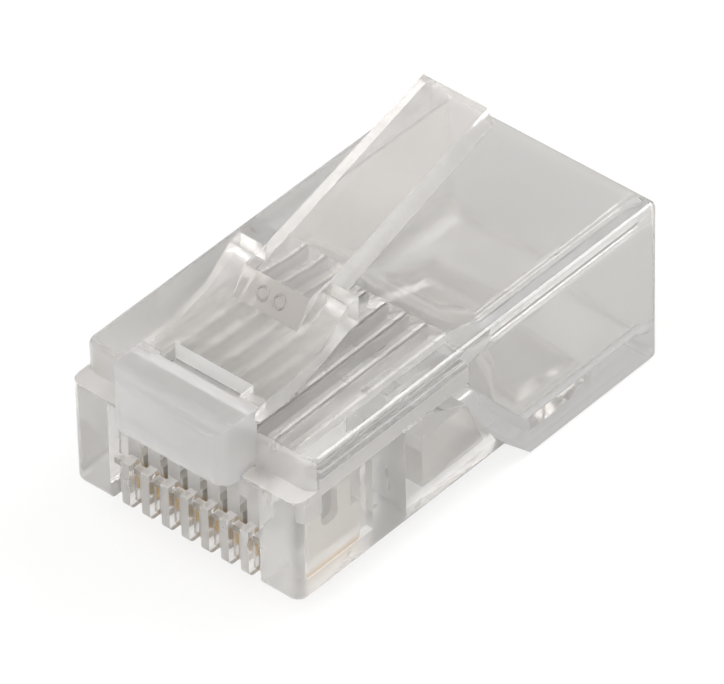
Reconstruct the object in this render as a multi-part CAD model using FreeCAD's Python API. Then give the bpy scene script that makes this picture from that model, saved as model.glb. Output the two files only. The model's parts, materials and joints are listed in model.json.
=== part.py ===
import FreeCAD, Part
import math
import os

# Eight-position modular plug, millimetres.
# +X runs from the nose to the cable end, +Z is up, and the latch is on top.
# The origin is under the middle of the whole plug, at the height of the foot.
# Lengths are measured back from the nose face, and heights up from the nose's underside,
# unless a note or a name says otherwise.

# Housing, outside
body_width = 11.68
body_length = 21.46
nose_height = 6.5
foot_drop = 1.5
foot_start = 13.85
ramp_run = 1.55
ledge_depth = 0.9
ledge_below_top = 1.45
nose_corner_radius = 0.55
edge_radius = 0.3

# Contacts and the comb that holds them
contact_count = 8
pitch = 1.02
contact_thickness = 0.33
contact_front = 1.0
contact_length = 3.45
contact_height = 3.6
contact_base_height = 2.0
contact_recess = 0.05
contact_corner_radius = 0.25
prong_width = 0.75
prong_end_step = 0.5
prong_point_height = 0.3
prong_gap_radius = 0.35
crimp_travel = 0.55
slot_tail = 0.75
comb_slot_width = 0.61
comb_depth = 0.58
comb_height = 2.27
comb_bar_front = 0.28
comb_bar_low = 1.7
comb_bar_high = 2.0
comb_window_height = 3.35

# Wire channels and the cable cavity
channel_radius = 0.46
channel_height = 4.2
channel_start = 1.5
channel_end = 10.8
cavity_wall = 1.1
cavity_roof = 1.0
cavity_floor = 1.1
cavity_top_corner = 0.5
cavity_low_corner = 1.0
funnel_side = 0.7
funnel_side_run = 1.3
funnel_roof_run = 1.3
funnel_lip = 0.1
funnel_foot = 14.2
mouth_flare = 0.35
mouth_flare_length = 0.75

# Conductor clamp, the bar below the wire channels
bar_front = 7.95
bar_pivot = 10.3
bar_tail = 1.3
bar_thickness = 2.5
bar_wall = 1.44
bar_recess = 0.35
bar_slot = 1.1
bar_knuckle_radius = 0.35
bar_back_gap = 0.6
bar_turn = 26.0

# Jacket clamp, the flap in the foot
flap_front = 14.8
flap_pivot = 17.9
flap_wall = 2.34
flap_knuckle_radius = 0.35
flap_rise = 0.7
flap_crest = 0.5
flap_tail = 0.8
flap_tail_drop = 0.2
flap_recess = 0.05
flap_notch = 0.45

# Latch and the block it springs from, heights measured up from the top of the body
latch_width = 6.0
latch_lead = 0.9
block_below_top = 1.6
block_rise = 1.25
block_edge_radius = 0.75
latch_thickness = 0.8
latch_pivot = 1.3
leg_width = 1.0
leg_gap_reach = 0.3
leg_gap_overlap = 0.1
window_front = 1.0
window_rear = 1.95
crease = 2.8
shoulder = 6.95
shoulder_rise = 2.95
shoulder_depth = 1.3
shoulder_land = 0.65
land_slope = 0.05
ramp_length = 1.4
ramp_foot_rise = 1.8
riser_length = 0.75
lever_width = 3.3
lever_proud = 0.2
lever_tip = 16.2
lever_tip_rise = 5.75
lever_thickness = 1.05

# Clearances
blade_clearance = 0.02
blade_end_clearance = 0.05
side_clearance = 0.1
knuckle_clearance = 0.03
turn_clearance = 0.05
flap_front_clearance = 0.1
overshoot = 1.0

nose_x = latch_lead - (body_length + latch_lead) / 2
half_width = body_width / 2
latch_half = latch_width / 2
block_top = nose_height + block_rise
block_bottom = nose_height - block_below_top
floor_height = cavity_floor - foot_drop
roof_height = nose_height - cavity_roof
flap_pivot_height = floor_height - flap_knuckle_radius
flap_half = half_width - flap_wall
bar_pivot_height = bar_recess + bar_thickness - bar_knuckle_radius
bar_half = half_width - bar_wall
ramp_top = shoulder - shoulder_land
ramp_foot = ramp_top - ramp_length
ramp_top_height = nose_height + shoulder_rise - land_slope


def place(x, z, y=0):
    """A point given by its distance behind the nose face and its height over the nose's underside."""
    return FreeCAD.Vector(nose_x + x, y, foot_drop + z)


def block(x0, x1, y0, y1, z0, z1):
    """A box between two corners."""
    return Part.makeBox(x1 - x0, y1 - y0, z1 - z0, place(x0, z0, y0))


def plate(points, y0, y1):
    """A side-view outline, extruded across the plug from y0 to y1."""
    corners = [place(x, z, y0) for x, z in points]
    face = Part.Face(Part.makePolygon(corners + corners[:1]))
    return face.extrude(FreeCAD.Vector(0, y1 - y0, 0))


def rod_across(x, z, radius, half):
    """A cylinder lying across the plug."""
    return Part.makeCylinder(radius, 2 * half, place(x, z, -half), FreeCAD.Vector(0, 1, 0))


def runs_along(edge, axis):
    """True for a straight edge that runs along the named axis."""
    direction = edge.Vertexes[-1].Point - edge.Vertexes[0].Point
    spare = [abs(getattr(direction, name)) for name in "xyz" if name != axis]
    return edge.Curve.TypeId == "Part::GeomLine" and max(spare) < 1e-6


def soften(solid, radius, wanted):
    """Round the edges for which wanted(edge) is true."""
    return solid.makeFillet(radius, [edge for edge in solid.Edges if wanted(edge)])


def contact_y(index):
    return ((contact_count - 1) / 2 - index) * pitch


def body_block():
    """The outer form: a nose with a ledge across its front, and a deeper foot at the cable end."""
    ledge_height = nose_height - ledge_below_top
    outline = [
        (0, 0),
        (foot_start - ramp_run, 0),
        (foot_start, -foot_drop),
        (body_length, -foot_drop),
        (body_length, nose_height),
        (ledge_depth, nose_height),
        (ledge_depth, ledge_height),
        (0, ledge_height),
    ]

    def is_nose_corner(edge):
        return runs_along(edge, "z") and edge.CenterOfMass.x < 0

    def is_long_edge(edge):
        return runs_along(edge, "x") and edge.Length > ledge_depth

    def is_rear_corner(edge):
        return runs_along(edge, "z") and edge.CenterOfMass.x > 0

    solid = plate(outline, -half_width, half_width)
    solid = soften(solid, nose_corner_radius, is_nose_corner)
    solid = soften(solid, edge_radius, is_long_edge)
    return soften(solid, edge_radius, is_rear_corner)


def latch_block():
    """The block that carries the latch, standing ahead of the comb."""
    blank = block(-latch_lead, latch_pivot, -latch_half, latch_half, block_bottom, block_top)
    front = place(-latch_lead, block_bottom)

    def is_front_edge(edge):
        middle = edge.CenterOfMass
        return abs(middle.x - front.x) < 1e-6 and middle.z > front.z + 1e-6

    return soften(blank, block_edge_radius, is_front_edge)


def latch_cuts():
    """The window between the latch's legs, the gap under them and the round seat of their ends."""
    window_half = latch_half - leg_width
    window = block(window_front, latch_pivot, -window_half, window_half, nose_height, block_top)
    gap_top = block_top - latch_thickness + leg_gap_overlap
    gap = block(latch_pivot - leg_gap_reach, latch_pivot, -latch_half, latch_half, nose_height, gap_top)
    radius = latch_thickness / 2
    seat = rod_across(latch_pivot, block_top - radius, radius + knuckle_clearance, latch_half)
    return [window, gap, seat]


def comb_cuts():
    """The recess over the comb, its slots with a bar across each, and the slots that hold the blades."""
    slot_half = comb_slot_width / 2
    blade_half = contact_thickness / 2 + blade_clearance
    blade_end = contact_front + contact_length + slot_tail
    blade_top = contact_recess + contact_height + crimp_travel + blade_end_clearance
    comb_half = contact_y(0) + slot_half
    cuts = [block(-latch_lead, comb_depth, -comb_half, comb_half, comb_height, block_bottom)]
    front = contact_front - blade_end_clearance
    for index in range(contact_count):
        y = contact_y(index)
        low = y - slot_half
        high = y + slot_half
        slot = block(-overshoot, comb_depth, low, high, -overshoot, block_bottom)
        cuts.append(slot.cut(block(comb_bar_front, comb_depth, low, high, comb_bar_low, comb_bar_high)))
        low = y - blade_half
        high = y + blade_half
        cuts.append(block(comb_depth, blade_end, low, high, -overshoot, comb_window_height))
        cuts.append(block(front, blade_end, low, high, 0, blade_top))
    return cuts


def channel_cuts():
    """Round wire channels with blind domed ends."""
    cuts = []
    dome_centre = channel_start + channel_radius
    for index in range(contact_count):
        start = place(dome_centre, channel_height, contact_y(index))
        length = channel_end - dome_centre + funnel_lip
        tube = Part.makeCylinder(channel_radius, length, start, FreeCAD.Vector(1, 0, 0))
        cuts.append(tube.fuse(Part.makeSphere(channel_radius, start)))
    return cuts


def cavity_cut():
    """The cable cavity, with a funnel at its front that leads the wires to their channels."""
    half = half_width - cavity_wall
    outline = [
        (channel_end, channel_height - channel_radius - funnel_lip),
        (channel_end, channel_height + channel_radius + funnel_lip),
        (channel_end + funnel_roof_run, roof_height),
        (body_length + overshoot, roof_height),
        (body_length + overshoot, floor_height),
        (funnel_foot, floor_height),
    ]
    top_z = place(0, roof_height).z
    low_z = place(0, floor_height).z

    def is_at(height):
        return lambda edge: runs_along(edge, "x") and abs(edge.CenterOfMass.z - height) < 1e-6

    cavity = soften(plate(outline, -half, half), cavity_top_corner, is_at(top_z))
    cavity = soften(cavity, cavity_low_corner, is_at(low_z))
    return cavity.cut([funnel_wedge(side, half) for side in (1, -1)]).fuse(mouth_cut())


def funnel_wedge(side, half):
    """The wall that narrows one side of the cavity towards the channels."""
    corners = [
        place(channel_end, floor_height, side * half),
        place(channel_end, floor_height, side * (half - funnel_side)),
        place(channel_end + funnel_side_run, floor_height, side * half),
    ]
    face = Part.Face(Part.makePolygon(corners + corners[:1]))
    return face.extrude(FreeCAD.Vector(0, 0, roof_height - floor_height))


def mouth_cut():
    """The flare that opens the cavity's mouth for the cable."""
    inner = mouth_ring(body_length - mouth_flare_length, 0)
    outer = mouth_ring(body_length, mouth_flare)
    return Part.makeLoft([inner, outer], True, True)


def mouth_ring(x, flare):
    """The cavity's section at x, grown all round by the flare, as four lines and four corner arcs."""
    side = half_width - cavity_wall + flare
    low = floor_height - flare
    high = roof_height + flare
    corners = [(side, low, -45), (side, high, 45), (-side, high, 135), (-side, low, 225)]
    arcs = []
    for y, z, angle in corners:
        radius = (cavity_low_corner if z == low else cavity_top_corner) + flare
        centre = (y - math.copysign(radius, y), z + radius if z == low else z - radius)
        points = []
        for turn in (angle - 45, angle, angle + 45):
            way = math.radians(turn)
            points.append(place(x, centre[1] + radius * math.sin(way), centre[0] + radius * math.cos(way)))
        arcs.append(Part.Arc(*points).toShape())
    lines = []
    for before, after in zip(arcs, arcs[1:] + arcs[:1]):
        lines.append(Part.makeLine(before.Vertexes[-1].Point, after.Vertexes[0].Point))
    return Part.Wire([edge for pair in zip(arcs, lines) for edge in pair])


def conductor_clamp():
    """The bar that crimping pushes up against the wires. It turns about its upper rear edge."""
    top = bar_recess + bar_thickness
    half = bar_half - side_clearance
    outline = [
        (bar_front, bar_recess),
        (bar_pivot + bar_tail, bar_recess),
        (bar_pivot + bar_knuckle_radius, bar_pivot_height),
        (bar_pivot, bar_pivot_height),
        (bar_pivot, top),
        (bar_front, top),
    ]
    bar = plate(outline, -half, half)
    knuckle = rod_across(bar_pivot, bar_pivot_height, bar_knuckle_radius, half)
    return bar.fuse(knuckle).removeSplitter()


def conductor_pocket():
    """Room for the bar, for its whole turn, and the slot in front of it."""
    turn = math.radians(bar_turn)
    reach = bar_pivot - bar_front
    corner = bar_pivot - reach * math.cos(turn) + bar_knuckle_radius * math.sin(turn)
    corner_height = bar_pivot_height + reach * math.sin(turn) + bar_knuckle_radius * math.cos(turn)
    roof = corner_height + turn_clearance
    seat_radius = bar_knuckle_radius + knuckle_clearance
    seat_top = bar_pivot_height + (bar_knuckle_radius + turn_clearance) / math.cos(turn)
    front = bar_front - bar_slot
    back = bar_pivot + bar_tail + bar_back_gap
    outline = [
        (front, -overshoot),
        (back, -overshoot),
        (back, 0),
        (bar_pivot + seat_radius, bar_pivot_height),
        (bar_pivot + seat_radius / 2, seat_top),
        (corner, roof),
        (front, roof),
    ]
    pocket = plate(outline, -bar_half, bar_half)
    return pocket.fuse(rod_across(bar_pivot, bar_pivot_height, seat_radius, bar_half))


def jacket_clamp():
    """The flap that crimping pushes up against the cable. It turns about its rear edge."""
    bottom = flap_recess - foot_drop
    half = flap_half - side_clearance
    outline = [
        (flap_front, bottom),
        (flap_pivot - flap_tail, bottom),
        (flap_pivot, flap_pivot_height - flap_tail_drop),
        (flap_pivot, floor_height),
        (flap_front + flap_crest, floor_height + flap_rise),
        (flap_front, floor_height + flap_rise),
    ]
    flap = plate(outline, -half, half)
    knuckle = rod_across(flap_pivot, flap_pivot_height, flap_knuckle_radius, half)
    return flap.fuse(knuckle).removeSplitter()


def flap_window():
    """The window in the foot for the flap, with a notch under its knuckle."""
    reach = math.hypot(flap_pivot - flap_front, flap_pivot_height + foot_drop - flap_recess)
    front = flap_pivot - reach - flap_front_clearance
    under = -foot_drop - overshoot
    window = block(front, flap_pivot, -flap_half, flap_half, under, floor_height + flap_rise)
    notch = block(flap_pivot, flap_pivot + flap_notch, -flap_half, flap_half, under, flap_pivot_height)
    seat = rod_across(flap_pivot, flap_pivot_height, flap_knuckle_radius + knuckle_clearance, flap_half)
    return window.fuse([notch, seat])


def housing():
    solid = body_block().fuse(latch_block()).removeSplitter()
    cuts = latch_cuts() + comb_cuts() + channel_cuts()
    return solid.cut(cuts + [cavity_cut(), conductor_pocket(), flap_window()])


def latch():
    """The spring latch: two legs, a ramp up to the locking shoulders and a long lever."""
    under = block_top - latch_thickness
    ramp_foot_height = nose_height + ramp_foot_rise
    ramp_under = ramp_foot_height - latch_thickness
    shoulder_height = nose_height + shoulder_rise
    shoulder_under = shoulder_height - shoulder_depth
    wide = [
        (latch_pivot, under),
        (latch_pivot, block_top),
        (crease, block_top),
        (ramp_foot, ramp_foot_height),
        (ramp_top, ramp_top_height),
        (shoulder, shoulder_height),
        (shoulder, shoulder_under),
        (ramp_top, ramp_top_height - shoulder_depth),
        (ramp_foot, ramp_under),
        (crease, under),
    ]
    lever_root = shoulder_height + lever_proud
    lever_end = nose_height + lever_tip_rise
    tilt = math.atan((lever_end - lever_root) / (lever_tip - shoulder))
    narrow = [
        (ramp_foot, ramp_under),
        (ramp_foot, ramp_foot_height),
        (ramp_foot + riser_length, shoulder_height),
        (shoulder, lever_root),
        (lever_tip, lever_end),
        (lever_tip + lever_thickness * math.sin(tilt), lever_end - lever_thickness * math.cos(tilt)),
        (shoulder, shoulder_under),
    ]
    ears = plate(wide, -latch_half, latch_half)
    lever = plate(narrow, -lever_width / 2, lever_width / 2)
    knuckle = rod_across(latch_pivot, block_top - latch_thickness / 2, latch_thickness / 2, latch_half)
    window_half = latch_half - leg_width
    window = block(0, window_rear, -window_half, window_half, nose_height, block_top + overshoot)
    return ears.fuse([lever, knuckle]).removeSplitter().cut(window)


def contact(index):
    """A flat blade with two pointed prongs that pierce the wire above it."""
    front = contact_front
    rear = contact_front + contact_length
    neck = contact_base_height
    top = contact_recess + contact_height
    point_foot = top - prong_point_height
    outline = [(front, contact_recess), (rear, contact_recess), (rear, neck)]
    for start in (rear - prong_end_step - prong_width, front + prong_end_step):
        outline += [
            (start + prong_width, neck),
            (start + prong_width, point_foot),
            (start + prong_width / 2, top),
            (start, point_foot),
            (start, neck),
        ]
    outline.append((front, neck))
    y = contact_y(index)
    blade = plate(outline, y - contact_thickness / 2, y + contact_thickness / 2)
    lowest = place(0, contact_recess).z
    gap_floor = place(0, neck).z
    gap_start = place(front + prong_end_step, 0).x
    gap_end = place(rear - prong_end_step, 0).x

    def is_low_corner(edge):
        return runs_along(edge, "y") and abs(edge.CenterOfMass.z - lowest) < 1e-6

    def is_gap_corner(edge):
        middle = edge.CenterOfMass
        inside = gap_start + 1e-6 < middle.x < gap_end - 1e-6
        return runs_along(edge, "y") and inside and abs(middle.z - gap_floor) < 1e-6

    blade = soften(blade, contact_corner_radius, is_low_corner)
    return soften(blade, prong_gap_radius, is_gap_corner)


def main():
    os.makedirs("parts", exist_ok=True)
    parts = {
        "housing": housing(),
        "latch": latch(),
        "conductor_clamp": conductor_clamp(),
        "jacket_clamp": jacket_clamp(),
    }
    for index in range(contact_count):
        parts["contact_%d" % (index + 1)] = contact(index)
    for name, shape in parts.items():
        print(name, len(shape.Solids), "solid", round(shape.Volume, 2), "mm3", shape.isValid())
        shape.exportStep("parts/%s.step" % name)


main()
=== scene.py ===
import json
import math

import bmesh
import bpy
from mathutils import Matrix, Vector


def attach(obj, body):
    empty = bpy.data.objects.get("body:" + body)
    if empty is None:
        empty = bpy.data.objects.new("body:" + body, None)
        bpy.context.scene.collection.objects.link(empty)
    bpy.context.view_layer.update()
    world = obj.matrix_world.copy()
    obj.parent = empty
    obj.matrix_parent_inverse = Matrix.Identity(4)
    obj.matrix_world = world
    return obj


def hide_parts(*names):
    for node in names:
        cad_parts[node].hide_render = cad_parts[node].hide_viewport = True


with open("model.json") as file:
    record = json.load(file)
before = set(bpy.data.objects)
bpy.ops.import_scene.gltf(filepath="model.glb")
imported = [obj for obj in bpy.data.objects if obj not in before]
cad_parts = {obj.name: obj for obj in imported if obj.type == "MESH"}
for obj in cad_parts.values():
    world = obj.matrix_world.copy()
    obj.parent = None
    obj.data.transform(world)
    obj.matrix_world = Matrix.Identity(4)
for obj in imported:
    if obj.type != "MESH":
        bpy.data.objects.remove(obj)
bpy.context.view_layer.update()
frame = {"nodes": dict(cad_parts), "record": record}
print("frame loaded,", len(frame["nodes"]), "nodes")

# The plug is modelled at one unit to the millimetre and brought down to metres when a piece is finished.
# Places are given as in the part, in millimetres: x back from the nose face, y across, z up from the nose's underside.
mm = 0.001
mountAt = {mount["name"]: Vector(mount["pos_m"]) / mm for mount in frame["record"]["mounts"]}
footDrop = 1.5  # how far the foot reaches below the nose
noseX = mountAt["jack_nose"].x
noseFloor = mountAt["foot"].z + footDrop


def deselectAll():
    if bpy.context.object and bpy.context.object.mode != "OBJECT":
        bpy.ops.object.mode_set(mode="OBJECT")
    bpy.ops.object.select_all(action="DESELECT")


def makeActive(piece):
    deselectAll()
    piece.select_set(True)
    bpy.context.view_layer.objects.active = piece


def place(x, y, z):
    return Vector((noseX + x, y, noseFloor + z))


def fromNode(nodeName, pieceName):
    # a merged copy of a CAD node, in millimetres, with its flat faces joined up again
    weld = {"reach": 0.002, "flatAngle": 0.3}  # mm and degrees
    mesh = frame["nodes"][nodeName].data.copy()
    mesh.transform(Matrix.Scale(1 / mm, 4))
    mesh.materials.clear()
    piece = bpy.data.objects.new(pieceName, mesh)
    bpy.context.scene.collection.objects.link(piece)
    makeActive(piece)
    bpy.ops.object.mode_set(mode="EDIT")
    bpy.ops.mesh.select_all(action="SELECT")
    bpy.ops.mesh.customdata_custom_splitnormals_clear()
    bpy.ops.mesh.remove_doubles(threshold=weld["reach"])
    bpy.ops.mesh.dissolve_limited(angle_limit=math.radians(weld["flatAngle"]))
    bpy.ops.object.mode_set(mode="OBJECT")
    return piece


def roundEdges(piece, wanted, width, segments):
    # bevels the sharp edges for which wanted(middle, direction, length) is true
    sharpAngle = 30  # degrees
    makeActive(piece)
    bpy.ops.object.mode_set(mode="EDIT")
    bpy.ops.mesh.select_mode(type="EDGE")
    bpy.ops.mesh.select_all(action="DESELECT")
    mesh = bmesh.from_edit_mesh(piece.data)
    count = 0
    for edge in mesh.edges:
        if len(edge.link_faces) != 2 or edge.calc_face_angle(0) < math.radians(sharpAngle):
            continue
        first, last = (vertex.co for vertex in edge.verts)
        middle = (first + last) / 2 - place(0, 0, 0)
        if wanted(middle, (last - first).normalized(), edge.calc_length()):
            edge.select_set(True)
            count += 1
    bmesh.update_edit_mesh(piece.data)
    bpy.ops.mesh.bevel(offset=width, segments=segments, clamp_overlap=True)
    bpy.ops.object.mode_set(mode="OBJECT")
    print(piece.name, count, "edges rounded by", width, "mm")


def finishPiece(piece, materials, body, node):
    smoothAngle = 32  # degrees
    makeActive(piece)
    bpy.ops.object.shade_smooth_by_angle(angle=math.radians(smoothAngle))
    weighted = piece.modifiers.new("flat faces stay flat", "WEIGHTED_NORMAL")
    weighted.keep_sharp = True
    bpy.ops.object.modifier_apply(modifier=weighted.name)
    piece.scale = (mm, mm, mm)
    bpy.ops.object.transform_apply(location=True, rotation=True, scale=True)
    for material in materials:
        piece.data.materials.append(material)
    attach(piece, body)
    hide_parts(node)


# Materials

def linearColour(code, alpha=1.0):
    values = [int(code[i:i + 2], 16) / 255 for i in (0, 2, 4)]
    return [v / 12.92 if v <= 0.04045 else ((v + 0.055) / 1.055) ** 2.4 for v in values] + [alpha]


def addNode(tree, kind, inputs, **settings):
    # a socket given as an input is linked, anything else is set
    node = tree.nodes.new(kind)
    for name, value in settings.items():
        setattr(node, name, value)
    for name, value in inputs.items():
        if isinstance(value, bpy.types.NodeSocket):
            tree.links.new(value, node.inputs[name])
        else:
            node.inputs[name].default_value = value
    return node


def newMaterial(name):
    material = bpy.data.materials.new(name)
    material.use_nodes = True
    tree = material.node_tree
    tree.nodes.clear()
    output = addNode(tree, "ShaderNodeOutputMaterial", {})
    spot = addNode(tree, "ShaderNodeTexCoord", {}).outputs["Object"]
    return material, tree, output, spot


def clearPolycarbonate(name, look):
    # polycarbonate from a polished or a spark-eroded mould: clear, with slow ripples and a faint haze
    refraction = 1.585
    material, tree, output, spot = newMaterial(name)
    ripple = addNode(tree, "ShaderNodeTexNoise", {"Vector": spot, "Scale": 1 / (look["ripple"] * mm),
                                                  "Detail": 1.0})
    grain = addNode(tree, "ShaderNodeTexNoise", {"Vector": spot, "Scale": 1 / (look["grain"] * mm),
                                                 "Detail": 2.0})
    bumpSlow = addNode(tree, "ShaderNodeBump", {"Height": ripple.outputs["Fac"], "Strength": 1.0,
                                                "Distance": look["rippleHeight"] * mm})
    bumpFine = addNode(tree, "ShaderNodeBump", {"Height": grain.outputs["Fac"], "Strength": 1.0,
                                                "Distance": look["grainHeight"] * mm,
                                                "Normal": bumpSlow.outputs["Normal"]})
    rough = addNode(tree, "ShaderNodeMapRange", {"Value": ripple.outputs["Fac"], "To Min": look["roughness"][0],
                                                 "To Max": look["roughness"][1]})
    shader = addNode(tree, "ShaderNodeBsdfPrincipled", {
        "Base Color": linearColour(look["colour"]), "Roughness": rough.outputs["Result"],
        "IOR": refraction, "Transmission Weight": look["clear"], "Normal": bumpFine.outputs["Normal"]})
    tree.links.new(shader.outputs["BSDF"], output.inputs["Surface"])
    return material


def platedBronze():
    # phosphor bronze blades, nickel plated, with hard gold on the front and lower edges that the jack's springs
    # touch: a satin silver that turns to a soft yellow along those edges
    look = {"gold": "DBB56A", "nickel": "F6F3EE", "goldTop": 0.25, "goldFront": 1.25, "goldReach": 1.45,
            "blend": 0.15, "frontBlend": 0.06, "metallic": 0.35, "roughness": (0.42, 0.55),
            "grain": 0.09, "grainHeight": 0.001}
    material, tree, output, spot = newMaterial("plated phosphor bronze")
    split = addNode(tree, "ShaderNodeSeparateXYZ", {"Vector": spot})

    def fades(axis, start, end):
        return addNode(tree, "ShaderNodeMapRange", {"Value": split.outputs[axis], "From Min": start * mm,
                                                    "From Max": end * mm, "To Min": 1.0, "To Max": 0.0}).outputs[0]

    goldTop = noseFloor + look["goldTop"]
    goldFront = noseX + look["goldFront"]
    goldReach = noseFloor + look["goldReach"]
    lowEdge = fades("Z", goldTop - look["blend"], goldTop + look["blend"])
    frontEdge = fades("X", goldFront - look["frontBlend"], goldFront + look["frontBlend"])
    reach = fades("Z", goldReach, goldReach + 2 * look["blend"])
    front = addNode(tree, "ShaderNodeMath", {0: frontEdge, 1: reach}, operation="MULTIPLY")
    gold = addNode(tree, "ShaderNodeMath", {0: lowEdge, 1: front.outputs[0]}, operation="MAXIMUM")
    colour = addNode(tree, "ShaderNodeMix", {"Factor": gold.outputs[0]}, data_type="RGBA")
    colour.inputs[6].default_value = linearColour(look["nickel"])
    colour.inputs[7].default_value = linearColour(look["gold"])
    grain = addNode(tree, "ShaderNodeTexNoise", {"Vector": spot, "Scale": 1 / (look["grain"] * mm)})
    rough = addNode(tree, "ShaderNodeMapRange", {"Value": grain.outputs["Fac"], "To Min": look["roughness"][0],
                                                 "To Max": look["roughness"][1]})
    bump = addNode(tree, "ShaderNodeBump", {"Height": grain.outputs["Fac"], "Distance": look["grainHeight"] * mm})
    shader = addNode(tree, "ShaderNodeBsdfPrincipled", {
        "Base Color": colour.outputs[2], "Metallic": look["metallic"], "Roughness": rough.outputs["Result"],
        "Normal": bump.outputs["Normal"]})
    tree.links.new(shader.outputs["BSDF"], output.inputs["Surface"])
    return material


# polished faces of the mould: clear as glass, with a few slow ripples
polished = clearPolycarbonate("clear polycarbonate", {
    "colour": "FBF9F7", "clear": 0.9, "roughness": (0.02, 0.06), "ripple": 3.5, "rippleHeight": 0.002,
    "grain": 0.15, "grainHeight": 0.0001})
# the block's outside, from a spark-eroded mould: an even milky frost
frosted = clearPolycarbonate("frosted polycarbonate", {
    "colour": "F6F4F3", "clear": 0.78, "roughness": (0.26, 0.36), "ripple": 1.5, "rippleHeight": 0.004,
    "grain": 0.12, "grainHeight": 0.001})
# faces drawn off the mould's cores: a soft sheen, and what lies behind them blurs
satin = clearPolycarbonate("satin polycarbonate", {
    "colour": "FAF8F5", "clear": 0.88, "roughness": (0.12, 0.2), "ripple": 1.5, "rippleHeight": 0.002,
    "grain": 0.12, "grainHeight": 0.0003})
# the riser and the bars of the comb: painted shade, a greyer colour than the clear plastic has, so that they show as
# dark squares and a grey slope
paintedShadeGrey = clearPolycarbonate("textured polycarbonate", {
    "colour": "B7B2AC", "clear": 0.6, "roughness": (0.16, 0.26), "ripple": 0.8, "rippleHeight": 0.003,
    "grain": 0.12, "grainHeight": 0.0006})
# the comb, the ledges and the inside of the wire channels: a thin haze that takes the sparkle off
hazy = clearPolycarbonate("hazy polycarbonate", {
    "colour": "F9F6F3", "clear": 0.8, "roughness": (0.24, 0.34), "ripple": 1.2, "rippleHeight": 0.003,
    "grain": 0.12, "grainHeight": 0.0006})
# the walls between the wires and round the latch's window: nearly white, as most of the light is scattered
matt = clearPolycarbonate("matt polycarbonate", {
    "colour": "F8F7F6", "clear": 0.5, "roughness": (0.3, 0.4), "ripple": 1.2, "rippleHeight": 0.003,
    "grain": 0.12, "grainHeight": 0.001})
plated = platedBronze()
print("materials made")


# Pieces

bodyTop = 6.5
near = 0.05  # how close a face's middle lies to a plane to count as on it
tight = 0.02  # the same for the middle of an edge
skin = 0.1  # how deep the outermost layer of the nose counts
facing = 0.9  # how far a normal reaches along an axis for its face to look that way


def splitFaces(piece, spot, normal):
    # parts the faces along a plane, so that a finish can end there
    makeActive(piece)
    bpy.ops.object.mode_set(mode="EDIT")
    bpy.ops.mesh.select_all(action="SELECT")
    bpy.ops.mesh.bisect(plane_co=spot, plane_no=normal)
    bpy.ops.object.mode_set(mode="OBJECT")


def giveFinish(piece, wanted, slotNumber):
    # the faces for which wanted(middle, normal) is true; a later finish takes faces over from an earlier one
    count = 0
    for face in piece.data.polygons:
        if wanted(face.center - place(0, 0, 0), face.normal):
            face.material_index = slotNumber
            count += 1
    print(piece.name, count, "faces for", wanted.__name__)


def cutAway(piece, cutters):
    makeActive(cutters[0])
    for cutter in cutters:
        cutter.select_set(True)
    bpy.ops.object.join()
    cutter = bpy.context.object
    makeActive(piece)
    cut = piece.modifiers.new("cut", "BOOLEAN")
    cut.operation = "DIFFERENCE"
    cut.solver = "EXACT"
    cut.object = cutter
    bpy.ops.object.modifier_apply(modifier=cut.name)
    bpy.data.objects.remove(cutter)
    print(piece.name, "cut,", len(piece.data.polygons), "faces")


# The housing: where its parts begin and end, how far a tilted face still counts, and how its edges are rounded

plug = {"combBack": 0.6, "combHalf": 4.05, "barFront": 0.2, "barBack": 0.35,
        "blockBack": 1.3, "blockHalf": 3.0, "blockBottom": 4.9, "blockFace": 0.2, "blockTopEdge": 7.5,
        "besideBlock": 3.1, "alongTheBlock": 0.99,
        "ledgeFront": 0.9, "ledgeBack": 1.2, "ledgeFoot": 5.1, "slotBack": 7.0, "pocketFront": 6.85,
        "channelFront": 1.4, "channelBack": 10.9, "channelLow": 3.7, "channelHigh": 4.7,
        "cavityFront": 10.85, "cavityBack": 21.3, "cavityHalf": 5.4, "cavityLow": -0.45, "cavityHigh": 6.2,
        "cornerFoot": 4.8, "cornerTilt": 0.15, "frontTilt": 0.5, "undersideBack": 10.0, "undersideTilt": 0.7,
        "roofTilt": 0.85, "sideTilt": 0.8, "windowBack": 2.3, "windowFoot": 2.8, "windowHalf": 2.3,
        "blockRound": 0.35, "ledgeRound": 0.28, "roundSteps": 4}


def crownedChannels(piece):
    # the wire channels again, each with a nearly flat, gently crowned roof that shows as one bright line
    channel = {"count": 8, "radius": 0.462, "crown": 1.9, "start": 1.49, "end": 11.0, "height": 4.2, "pitch": 1.02,
               "sides": 96}
    deselectAll()
    tubes = []
    for number in range(channel["count"]):
        across = ((channel["count"] - 1) / 2 - number) * channel["pitch"]
        middle = place(channel["start"], across, channel["height"])
        bpy.ops.mesh.primitive_circle_add(vertices=channel["sides"], radius=channel["radius"], fill_type="NGON",
                                          location=middle, rotation=(0, math.radians(-90), 0))
        tube = bpy.context.object
        bpy.ops.object.transform_apply(location=True, rotation=True, scale=True)
        bpy.ops.object.mode_set(mode="EDIT")
        bpy.ops.mesh.select_all(action="SELECT")
        mesh = bmesh.from_edit_mesh(tube.data)
        for vertex in mesh.verts:
            if abs(vertex.co.z - middle.z) > 0.001:
                sag = channel["crown"] - math.sqrt(channel["crown"] ** 2 - (vertex.co.y - middle.y) ** 2)
                vertex.co.z = middle.z + math.copysign(channel["radius"] - sag, vertex.co.z - middle.z)
        bmesh.update_edit_mesh(tube.data)
        reach = channel["end"] - channel["start"]
        bpy.ops.mesh.extrude_region_move(TRANSFORM_OT_translate={"value": (reach, 0, 0)})
        bpy.ops.mesh.select_all(action="SELECT")
        bpy.ops.mesh.normals_make_consistent(inside=False)
        bpy.ops.object.mode_set(mode="OBJECT")
        tubes.append(tube)
    cutAway(piece, tubes)


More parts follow.
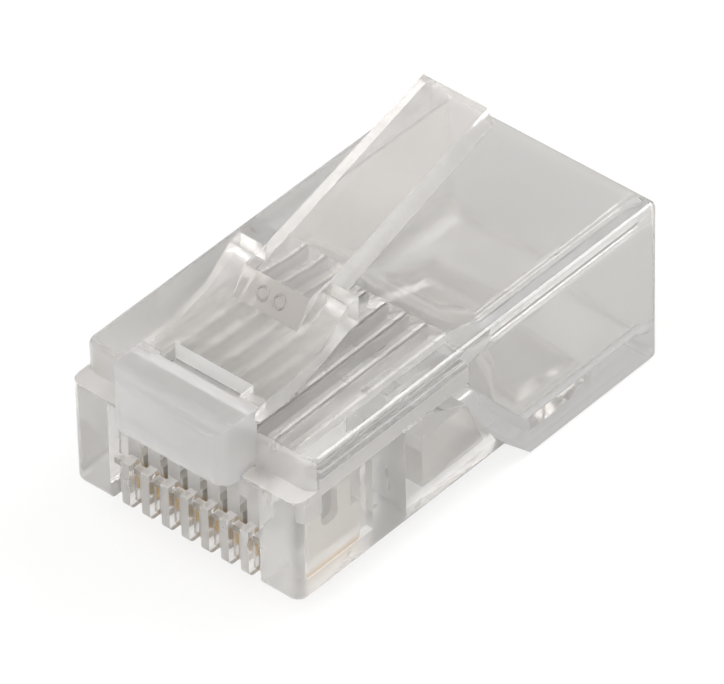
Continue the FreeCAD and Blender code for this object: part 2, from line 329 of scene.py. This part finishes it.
def isBlockEdge(middle, direction, length):
    # the two long top edges of the block
    along = abs(direction.x) > plug["alongTheBlock"] and middle.x < plug["blockBack"]
    return along and abs(abs(middle.y) - plug["blockHalf"]) < tight and middle.z > plug["blockTopEdge"]


def isLedgeEdge(middle, direction, length):
    # round the front of the upper body, beside the block
    beside = abs(middle.y) > plug["besideBlock"]
    return abs(middle.x - plug["ledgeFront"]) < tight and beside and middle.z > plug["ledgeFoot"]


def isComb(middle):
    return middle.x < plug["combBack"] and abs(middle.y) < plug["combHalf"] and middle.z < plug["blockBottom"]


def isChannel(middle):
    inside = plug["channelFront"] < middle.x < plug["channelBack"] and abs(middle.y) < plug["combHalf"]
    return inside and plug["channelLow"] < middle.z < plug["channelHigh"]


def isSatin(middle, normal):
    # the cable cavity but for its top corners, the nose's front beside the comb, and the sides of the blades' slots
    topCorner = (middle.z > plug["cornerFoot"] and abs(normal.y) > plug["cornerTilt"]
                 and abs(normal.z) > plug["cornerTilt"])
    cavity = (plug["cavityFront"] < middle.x < plug["cavityBack"] and abs(middle.y) < plug["cavityHalf"]
              and plug["cavityLow"] < middle.z < plug["cavityHigh"])
    noseFront = middle.x < skin and abs(middle.y) > plug["combHalf"] and normal.x < -plug["frontTilt"]
    slotSide = (plug["combBack"] < middle.x < plug["slotBack"] and abs(middle.y) < plug["combHalf"]
                and middle.z < plug["channelLow"] and abs(normal.y) > facing)
    return (cavity and not topCorner) or noseFront or slotSide


def isHazy(middle, normal):
    # fronts and tops of the comb, the ledge over the nose, the front wall of the clamp's pocket, the underside of
    # the nose, and the wire channels apart from their roofs
    comb = isComb(middle) and abs(normal.y) < facing
    ledge = skin < middle.x < plug["ledgeBack"] and plug["blockBottom"] < middle.z < bodyTop - 0.01
    pocketFront = abs(middle.x - plug["pocketFront"]) < near and normal.x > facing
    underside = middle.z < skin and middle.x < plug["undersideBack"] and normal.z < -plug["undersideTilt"]
    channel = isChannel(middle) and normal.z > -plug["roofTilt"]
    return comb or ledge or pocketFront or channel or underside


def onNoseBlock(middle, normal):
    # the outside of the block that the latch springs from
    block = (middle.x < plug["blockBack"] + tight and abs(middle.y) < plug["blockHalf"] + near
             and middle.z > plug["blockBottom"] - near)
    return block and (middle.x < plug["blockFace"] or middle.z > bodyTop + near)


def isBarFront(middle, normal):
    # the bars set back between the comb's teeth, which get the grey finish with painted shade
    return isComb(middle) and normal.x < -facing and plug["barFront"] < middle.x < plug["barBack"]


def isMatt(middle, normal):
    # the sides of the wire channels, and the sides of the slots and teeth where the comb's windows show them
    slotSide = (middle.x < plug["windowBack"] and abs(middle.y) < plug["combHalf"]
                and plug["windowFoot"] < middle.z < plug["blockBottom"])
    return abs(normal.y) > plug["sideTilt"] and (isChannel(middle) or slotSide)


def isUnderWindow(middle, normal):
    # the top of the body below the latch's window
    strip = plug["ledgeFront"] - tight < middle.x < plug["windowBack"] and abs(middle.y) < plug["windowHalf"]
    return strip and normal.z > facing and abs(middle.z - bodyTop) < near


body = fromNode("housing", "plugBody")
roundEdges(body, isBlockEdge, plug["blockRound"], plug["roundSteps"])
roundEdges(body, isLedgeEdge, plug["ledgeRound"], plug["roundSteps"])
crownedChannels(body)
splitFaces(body, place(plug["windowBack"], 0, 0), (1, 0, 0))
splitFaces(body, place(0, 0, plug["windowFoot"]), (0, 0, 1))
splitFaces(body, place(0, plug["windowHalf"], 0), (0, 1, 0))
splitFaces(body, place(0, -plug["windowHalf"], 0), (0, 1, 0))
finishes = [polished, frosted, satin, hazy, paintedShadeGrey, matt]
for wanted, finish in ((isSatin, satin), (isHazy, hazy), (onNoseBlock, frosted), (isBarFront, paintedShadeGrey),
                       (isMatt, matt), (isUnderWindow, matt)):
    giveFinish(body, wanted, finishes.index(finish))
finishPiece(body, finishes, "housing", "housing")


# The latch: the same for its legs, ramp, riser and lever

spring = {"windowRear": 1.95, "riserFoot": 4.9, "riserRun": 0.75, "shoulder": 6.95, "leverHalf": 1.65,
          "edgesFrom": 2.0, "shortestEdge": 0.3, "edgeRound": 0.12, "roundSteps": 3, "riserTilt": 0.8}


def isLatchEdge(middle, direction, length):
    # all but the short ones, behind the block
    return middle.x > spring["edgesFrom"] and length > spring["shortestEdge"]


def raisedRings(piece):
    # two plain raised rings on the riser, as a mould marks it
    ring = {"radius": 0.27, "wire": 0.055, "apart": 0.42, "x": 5.27, "z": 8.87, "lean": -56.9}
    deselectAll()
    for side in (1, -1):
        bpy.ops.mesh.primitive_torus_add(location=place(ring["x"], side * ring["apart"], ring["z"]),
                                         rotation=(0, math.radians(ring["lean"]), 0), major_radius=ring["radius"],
                                         minor_radius=ring["wire"], major_segments=48, minor_segments=12)
        bpy.ops.object.transform_apply(location=True, rotation=True, scale=True)
        torus = bpy.context.object
        makeActive(piece)
        torus.select_set(True)
        bpy.ops.object.join()


def isLatchSatin(middle, normal):
    # the legs, the ramp and the ears, and the sides of the lever, but not its top and underside
    front = middle.x < spring["shoulder"] + near and (
        abs(middle.y) > spring["leverHalf"] - 0.01 or middle.x < spring["riserFoot"] + tight)
    return front or (middle.x > spring["shoulder"] and abs(normal.y) > facing)


def isRiser(middle, normal):
    # the slope between the ramp and the lever, which gets the grey finish with painted shade
    riser = spring["riserFoot"] < middle.x < spring["riserFoot"] + spring["riserRun"]
    return riser and abs(middle.y) < spring["leverHalf"] and normal.x < -spring["riserTilt"]


def isWindowWall(middle, normal):
    # the wall at the back of the window, between block and ramp
    return abs(middle.x - spring["windowRear"]) < near and normal.x < -facing


latch = fromNode("latch", "springLatch")
roundEdges(latch, isLatchEdge, spring["edgeRound"], spring["roundSteps"])
raisedRings(latch)
finishes = [polished, satin, paintedShadeGrey, matt]
for wanted, finish in ((isLatchSatin, satin), (isRiser, paintedShadeGrey), (isWindowWall, matt)):
    giveFinish(latch, wanted, finishes.index(finish))
finishPiece(latch, finishes, "latch", "latch")


# The clamps and the contacts

finishPiece(fromNode("conductor_clamp", "conductorClampBar"), [satin], "conductor_clamp",
            "conductor_clamp")
finishPiece(fromNode("jacket_clamp", "jacketClampBar"), [polished], "jacket_clamp", "jacket_clamp")
for number in range(1, 9):
    node = "contact_%d" % number
    finishPiece(fromNode(node, "contactBlade%d" % number), [plated], node, node)
print("pieces made")


# Floor, light and camera

def floorAndWorld():
    # matt paper: the camera sees it as white; clear plastic and metal see it glow as lit paper would, a painted light
    # that is brighter in front of the plug and darker behind it, and both keep some shadow
    look = {"paper": "F0EFED", "size": 4.0, "white": 1.0, "whiteShare": 0.75, "lit": (0.98, 0.46),
            "from": -0.5, "to": 10.5, "litShare": 0.85}
    deselectAll()
    bpy.ops.mesh.primitive_plane_add(size=look["size"], location=(0, 0, 0))
    floor = bpy.context.object
    floor.name = "floorSheet"
    material, tree, output, spot = newMaterial("white paper")
    diffuse = addNode(tree, "ShaderNodeBsdfDiffuse", {"Color": linearColour(look["paper"])})
    rays = addNode(tree, "ShaderNodeLightPath", {})
    seen = addNode(tree, "ShaderNodeMath", {0: rays.outputs["Is Camera Ray"], 1: look["whiteShare"]},
                   operation="MULTIPLY")
    through = addNode(tree, "ShaderNodeMath", {0: rays.outputs["Is Transmission Ray"],
                                               1: rays.outputs["Is Glossy Ray"]}, operation="MAXIMUM")
    lit = addNode(tree, "ShaderNodeMath", {0: through.outputs[0], 1: look["litShare"]}, operation="MULTIPLY")
    share = addNode(tree, "ShaderNodeMath", {0: seen.outputs[0], 1: lit.outputs[0]}, operation="MAXIMUM")
    along = addNode(tree, "ShaderNodeSeparateXYZ", {"Vector": spot}).outputs["X"]
    # painted light: the glow falls off from the front of the plug to its back
    graded = addNode(tree, "ShaderNodeMapRange", {
        "Value": along, "From Min": (noseX + look["from"]) * mm, "From Max": (noseX + look["to"]) * mm,
        "To Min": look["lit"][0], "To Max": look["lit"][1]})
    level = addNode(tree, "ShaderNodeMapRange", {"Value": rays.outputs["Is Camera Ray"],
                                                 "To Min": graded.outputs["Result"], "To Max": look["white"]})
    glow = addNode(tree, "ShaderNodeEmission", {"Color": linearColour("FFFFFF"), "Strength": level.outputs[0]})
    mixed = addNode(tree, "ShaderNodeMixShader", {"Fac": share.outputs[0], 1: diffuse.outputs[0],
                                                  2: glow.outputs[0]})
    tree.links.new(mixed.outputs[0], output.inputs["Surface"])
    floor.data.materials.append(material)

    # a pale room, darker behind the plug, which gives the clear plastic its dark lines
    room = {"low": 0.9, "high": 1.0, "dark": 0.32, "behind": (0.62, 0.55, 0.3), "from": 0.35, "to": 0.8}
    world = bpy.data.worlds.new("studio")
    bpy.context.scene.world = world
    world.use_nodes = True
    tree = world.node_tree
    tree.nodes.clear()
    output = addNode(tree, "ShaderNodeOutputWorld", {})
    direction = addNode(tree, "ShaderNodeTexCoord", {}).outputs["Generated"]
    height = addNode(tree, "ShaderNodeSeparateXYZ", {"Vector": direction}).outputs["Z"]
    level = addNode(tree, "ShaderNodeMapRange", {"Value": height, "From Min": 0.0, "From Max": 1.0,
                                                 "To Min": room["low"], "To Max": room["high"]})
    toward = addNode(tree, "ShaderNodeVectorMath", {0: direction, 1: room["behind"]}, operation="DOT_PRODUCT")
    shade = addNode(tree, "ShaderNodeMapRange", {"Value": toward.outputs["Value"], "From Min": room["from"],
                                                 "From Max": room["to"], "To Min": 1.0, "To Max": room["dark"]},
                    interpolation_type="SMOOTHSTEP")
    strength = addNode(tree, "ShaderNodeMath", {0: level.outputs["Result"], 1: shade.outputs["Result"]},
                       operation="MULTIPLY")
    sky = addNode(tree, "ShaderNodeBackground", {"Color": linearColour("FFFFFF"),
                                                 "Strength": strength.outputs[0]})
    tree.links.new(sky.outputs[0], output.inputs["Surface"])


def towardViewer(azimuth, elevation):
    around = math.radians(azimuth)
    up = math.radians(elevation)
    return Vector((math.sin(around) * math.cos(up), -math.cos(around) * math.cos(up), math.sin(up)))


def addLamp(name, setup):
    back = towardViewer(setup["azimuth"], setup["elevation"])
    data = bpy.data.lights.new(name, "AREA")
    data.size = setup["size"]
    data.energy = setup["watts"]
    lamp = bpy.data.objects.new(name, data)
    bpy.context.scene.collection.objects.link(lamp)
    lamp.location = back * setup["distance"]
    lamp.rotation_mode = "QUATERNION"
    lamp.rotation_quaternion = (-back).to_track_quat("-Z", "Y")


def addCamera():
    setup = {"azimuth": -48.2, "elevation": 40.35, "roll": -1.3, "target": (0.42, 0.23, 4.48),
             "distance": 366.0, "lens": 467.0, "clip": (0.01, 10.0)}
    around = math.radians(setup["azimuth"])
    roll = math.radians(setup["roll"])
    back = towardViewer(setup["azimuth"], setup["elevation"])
    level = Vector((math.cos(around), math.sin(around), 0))
    rise = back.cross(level)
    right = level * math.cos(roll) + rise * math.sin(roll)
    top = rise * math.cos(roll) - level * math.sin(roll)
    data = bpy.data.cameras.new("camera")
    data.lens = setup["lens"]
    data.clip_start, data.clip_end = setup["clip"]
    camera = bpy.data.objects.new("camera", data)
    bpy.context.scene.collection.objects.link(camera)
    turn = Matrix((right, top, back)).transposed().to_4x4()
    spot = (Vector(setup["target"]) + back * setup["distance"]) * mm
    camera.matrix_world = Matrix.Translation(spot) @ turn
    bpy.context.scene.camera = camera


# angles in degrees, distances and sizes in metres
lamps = {"softbox left": {"azimuth": -105, "elevation": 50, "distance": 0.6, "size": 0.5, "watts": 1.4},
         "softbox front": {"azimuth": -60, "elevation": 22, "distance": 0.6, "size": 0.4, "watts": 0.9},
         "softbox right": {"azimuth": 62, "elevation": 50, "distance": 0.6, "size": 0.32, "watts": 2.0}}
floorAndWorld()
for name, setup in lamps.items():
    addLamp(name, setup)
addCamera()
scene = bpy.context.scene
scene.view_settings.view_transform = "Standard"
bounces = {"all": 24, "transmission": 24, "glossy": 12}  # clear walls stand many deep
scene.cycles.max_bounces = bounces["all"]
scene.cycles.transmission_bounces = bounces["transmission"]
scene.cycles.glossy_bounces = bounces["glossy"]
print("stage set")
